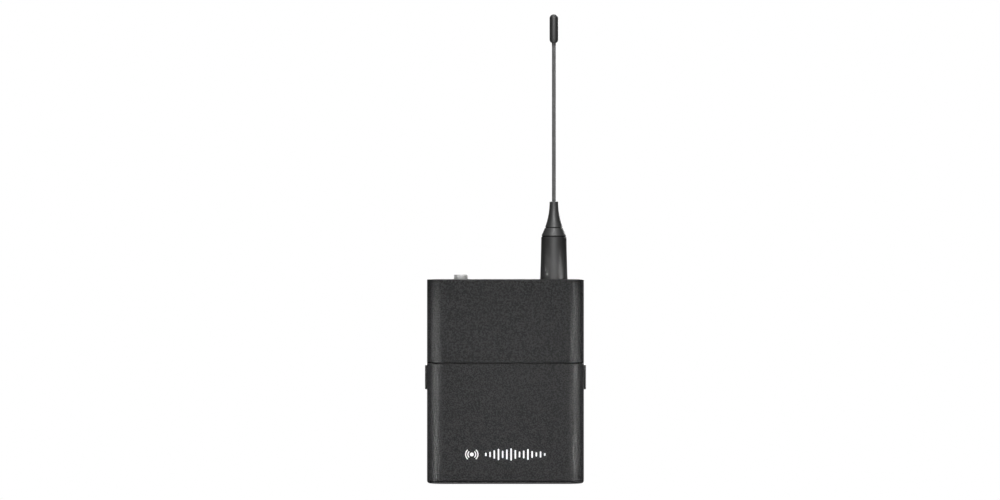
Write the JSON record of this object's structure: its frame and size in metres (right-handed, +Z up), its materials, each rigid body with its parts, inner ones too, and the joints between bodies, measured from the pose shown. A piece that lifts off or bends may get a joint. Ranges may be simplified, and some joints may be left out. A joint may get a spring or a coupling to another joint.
{
  "type": "wireless bodypack transmitter",
  "caption": "Flat belt-worn radio transmitter with a whip antenna, a threaded microphone jack, a hinged battery door with side catches and a wire belt clip.",
  "frame": {"origin": "centre of the flat base of the casing", "axes": "+Z up along the antenna, -Y out of the front face with the battery door, +X to the right when the front is looked at"},
  "size_m": [0.0658, 0.0273, 0.1916],
  "materials": {
    "front_plastic": "fine moulded grain, charcoal",
    "rear_plastic": "fine moulded grain, near black",
    "frame_plastic": "plain moulded, black",
    "catch_plastic": "satin, near black",
    "antenna_rubber": "satin black",
    "whip_coating": "satin black over stranded wire",
    "jack_metal": "bright nickel plate",
    "brass": "bare, satin",
    "steel": "bright spring steel",
    "black_steel": "black oxide, satin",
    "board": "solder-masked board, green",
    "chip": "moulded black",
    "tin_plate": "tinned, satin",
    "lens": "clear",
    "cell_sleeve": "plain printed film, dark grey",
    "amber_film": "amber film",
    "label_film": "plain silver film"
  },
  "bodies": {
    "chassis": {"rear_housing": "rear_plastic", "front_upper_cover": "front_plastic", "top_plate": "rear_plastic", "bay_frame": "frame_plastic", "hinge_pin_left": "steel", "hinge_pin_right": "steel", "case_screw_upper_left": "black_steel", "case_screw_upper_right": "black_steel", "case_screw_lower_left": "black_steel", "case_screw_lower_right": "black_steel", "rear_label": "label_film", "battery_cell_left": "cell_sleeve", "battery_cell_right": "cell_sleeve", "bridge_contact": "tin_plate", "positive_contact": "tin_plate", "negative_contact": "tin_plate", "lower_cell_spring": "steel", "upper_cell_spring": "steel", "catch_spring_left": "steel", "catch_spring_right": "steel", "main_board": "board", "rf_shield_can": "tin_plate", "processor_chip": "chip", "audio_codec_chip": "chip", "power_inductor": "chip", "control_board": "board", "flat_cable": "amber_film", "power_switch": "chip", "sync_switch": "chip", "link_led": "tin_plate", "data_led": "tin_plate", "link_light_pipe": "lens", "data_light_pipe": "lens", "jack_sleeve": "jack_metal", "jack_body": "chip", "jack_tip_spring": "brass", "jack_ring_spring": "brass", "jack_ring_nut": "jack_metal", "antenna_base_sleeve": "antenna_rubber", "antenna_collar": "antenna_rubber", "antenna_cone": "antenna_rubber", "antenna_core": "steel", "antenna_stud": "brass", "antenna_nut": "brass", "antenna_washer": "tin_plate", "antenna_feed_spring": "brass"},
    "door": {"battery_door": "front_plastic"},
    "catch_left": {"catch_button_left": "catch_plastic", "catch_hook_left": "steel"},
    "catch_right": {"catch_button_right": "catch_plastic", "catch_hook_right": "steel"},
    "power_button": {"power_button": "catch_plastic", "power_switch_plunger": "lens"},
    "sync_button": {"sync_button": "catch_plastic", "sync_switch_plunger": "lens"},
    "belt_clip": {"belt_clip": "black_steel"},
    "whip": {"antenna_whip": "whip_coating", "antenna_tip": "antenna_rubber"}
  },
  "joints": [
    {"name": "door_hinge", "type": "hinge", "parent": "chassis", "child": "door", "pos_m": [0, -0.00825, 0.00325], "axis": [1, 0, 0], "range_deg": [0, 90]},
    {"name": "catch_left_press", "type": "slide", "parent": "chassis", "child": "catch_left", "axis": [1, 0, 0], "range_m": [0, 0.0011], "stiffness_N_per_m": 900, "deforming": ["catch_spring_left"]},
    {"name": "catch_right_press", "type": "slide", "parent": "chassis", "child": "catch_right", "axis": [-1, 0, 0], "range_m": [0, 0.0011], "stiffness_N_per_m": 900, "deforming": ["catch_spring_right"]},
    {"name": "power_button_press", "type": "slide", "parent": "chassis", "child": "power_button", "axis": [0, 0, -1], "range_m": [0, 0.0005], "stiffness_N_per_m": 2000},
    {"name": "sync_button_press", "type": "slide", "parent": "chassis", "child": "sync_button", "axis": [0, 1, 0], "range_m": [0, 0.0004], "stiffness_N_per_m": 1500},
    {"name": "belt_clip_swing", "type": "hinge", "parent": "chassis", "child": "belt_clip", "pos_m": [0, 0.007, 0.0548], "axis": [1, 0, 0], "range_deg": [0, 12], "stiffness_Nm_per_rad": 1.6},
    {"name": "whip_flex", "type": "hinge", "parent": "chassis", "child": "whip", "pos_m": [0.0198, 0, 0.1153], "axis": [0, 1, 0], "range_deg": [-20, 20], "stiffness_Nm_per_rad": 0.05}
  ]
}
